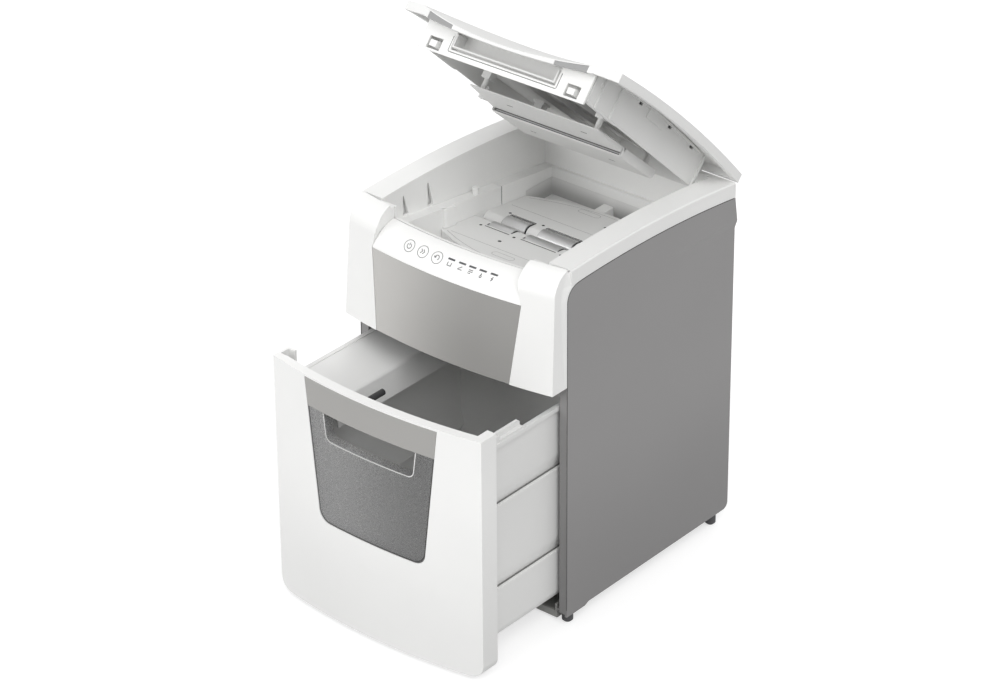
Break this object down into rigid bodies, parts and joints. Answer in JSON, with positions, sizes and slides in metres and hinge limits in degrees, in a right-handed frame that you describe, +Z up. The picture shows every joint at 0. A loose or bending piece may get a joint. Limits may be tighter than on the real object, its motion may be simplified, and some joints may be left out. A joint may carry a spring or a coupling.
{
  "type": "paper shredder",
  "caption": "Office paper shredder with a bowed front, a pull-out bin with a window, and a sheet bay with feed rollers over a cutting block under a hinged lid.",
  "frame": {"origin": "on the floor, under the middle of the side panels' footprint", "axes": "+X to the shredder's right side, +Y to its rear, +Z up"},
  "size_m": [0.327, 0.5032, 0.701],
  "materials": {
    "white_plastic": "fine satin moulding",
    "light_grey_plastic": "fine satin moulding",
    "panel_grey": "satin paint",
    "front_grey": "fine satin moulding",
    "smoked_window": "clear, slightly smoked",
    "dark_plastic": "matt",
    "dark_soft": "matt",
    "roller_grey": "matt, ground",
    "steel": "bright turned",
    "zinc_sheet": "zinc plated",
    "gear_nylon": "natural nylon",
    "bronze": "sintered",
    "board": "lacquered board",
    "motor_can": "grey paint"
  },
  "bodies": {
    "cabinet": {"side_panel_right": "panel_grey", "side_panel_left": "panel_grey", "rear_panel": "panel_grey", "shoulder_right": "white_plastic", "shoulder_left": "white_plastic", "control_strip": "white_plastic", "base_tray": "front_grey", "feet": "dark_soft", "drawer_rails": "zinc_sheet", "mechanism_deck": "zinc_sheet", "power_inlet": "dark_plastic", "rocker_bezel": "dark_plastic", "front_panel": "front_grey", "control_board": "board", "top_housing": "light_grey_plastic", "switch_rail": "light_grey_plastic", "feed_plate_front": "light_grey_plastic", "feed_plate_rear": "light_grey_plastic", "comb_rear": "dark_plastic", "comb_front": "dark_plastic", "cutter_frame_right": "zinc_sheet", "cutter_frame_left": "zinc_sheet", "tie_rods": "steel", "cutter_bushes": "bronze", "roller_bushes": "bronze", "gear_pins": "steel", "motor": "motor_can", "power_board": "board", "hinge_pins": "steel"},
    "lid": {"lid_cover": "white_plastic", "seal_strips": "dark_soft", "lid_frame": "light_grey_plastic", "plate_guides": "light_grey_plastic", "lid_fascia": "white_plastic"},
    "plate": {"pressure_plate": "light_grey_plastic", "plate_posts": "steel"},
    "handle": {"lid_handle": "light_grey_plastic", "latch_bar": "zinc_sheet"},
    "drawer": {"drawer_front": "white_plastic", "handle_band": "front_grey", "drawer_window": "smoked_window", "waste_bin": "light_grey_plastic", "drawer_pins": "dark_plastic", "switch_pin": "light_grey_plastic"},
    "plunger": {"lid_plunger": "light_grey_plastic"},
    "rear_cutter": {"cutter_rear": "steel", "cutter_gear_rear": "steel"},
    "front_cutter": {"cutter_front": "steel", "cutter_gear_front": "steel"},
    "idler": {"idler_gear": "gear_nylon"},
    "rear_roller": {"roller_shaft_rear": "steel", "feed_rollers_rear": "roller_grey", "roller_gear_rear": "gear_nylon"},
    "front_roller": {"roller_shaft_front": "steel", "feed_rollers_front": "roller_grey", "roller_gear_front": "gear_nylon"},
    "reduction": {"reduction_gear": "gear_nylon"},
    "motor_rotor": {"motor_pinion": "steel"},
    "rocker": {"mains_rocker": "dark_plastic"}
  },
  "joints": [
    {"name": "lid_hinge", "type": "hinge", "parent": "cabinet", "child": "lid", "pos_m": [0, 0.164, 0.476], "axis": [-1, 0, 0], "range_deg": [-41, 19]},
    {"name": "plate_slide", "type": "slide", "parent": "lid", "child": "plate", "axis": [0, 0.6561, 0.7547], "range_m": [0, 0.012], "stiffness_N_per_m": 150, "springref_m": -0.02},
    {"name": "handle_turn", "type": "hinge", "parent": "lid", "child": "handle", "pos_m": [0, -0.05073, 0.66796], "axis": [1, 0, 0], "range_deg": [0, 5], "stiffness_Nm_per_rad": 0.6, "springref_deg": -11.46},
    {"name": "drawer_slide", "type": "slide", "parent": "cabinet", "child": "drawer", "axis": [0, -1, 0], "range_m": [-0.1278, 0.07]},
    {"name": "plunger_press", "type": "slide", "parent": "cabinet", "child": "plunger", "axis": [0, 0, -1], "range_m": [0, 0.003], "stiffness_N_per_m": 300, "springref_m": -0.005},
    {"name": "cutter_spin", "type": "hinge", "parent": "cabinet", "child": "rear_cutter", "pos_m": [0, 0.027, 0.34193], "axis": [1, 0, 0], "continuous": true},
    {"name": "front_cutter_spin", "type": "hinge", "parent": "cabinet", "child": "front_cutter", "pos_m": [0, -0.011, 0.34193], "axis": [1, 0, 0], "continuous": true},
    {"name": "idler_spin", "type": "hinge", "parent": "cabinet", "child": "idler", "pos_m": [0, 0.02419, 0.36878], "axis": [1, 0, 0], "continuous": true},
    {"name": "rear_roller_spin", "type": "hinge", "parent": "cabinet", "child": "rear_roller", "pos_m": [0, 0.02191, 0.39066], "axis": [1, 0, 0], "continuous": true},
    {"name": "front_roller_spin", "type": "hinge", "parent": "cabinet", "child": "front_roller", "pos_m": [0, -0.00591, 0.39392], "axis": [1, 0, 0], "continuous": true},
    {"name": "reduction_spin", "type": "hinge", "parent": "cabinet", "child": "reduction", "pos_m": [0, 0.05349, 0.35372], "axis": [1, 0, 0], "continuous": true},
    {"name": "motor_spin", "type": "hinge", "parent": "cabinet", "child": "motor_rotor", "pos_m": [0, 0.09066, 0.34582], "axis": [1, 0, 0], "continuous": true},
    {"name": "rocker_tip", "type": "hinge", "parent": "cabinet", "child": "rocker", "pos_m": [0, 0.1544, 0.301], "axis": [1, 0, 0], "range_deg": [0, 14]}
  ],
  "couplings": [
    {"joint": "front_cutter_spin", "follows": "cutter_spin", "ratio": -1},
    {"joint": "idler_spin", "follows": "cutter_spin", "ratio": -2.375},
    {"joint": "rear_roller_spin", "follows": "cutter_spin", "ratio": 1.3571},
    {"joint": "front_roller_spin", "follows": "cutter_spin", "ratio": -1.3571},
    {"joint": "reduction_spin", "follows": "cutter_spin", "ratio": -1.9},
    {"joint": "motor_spin", "follows": "cutter_spin", "ratio": 7.125}
  ]
}
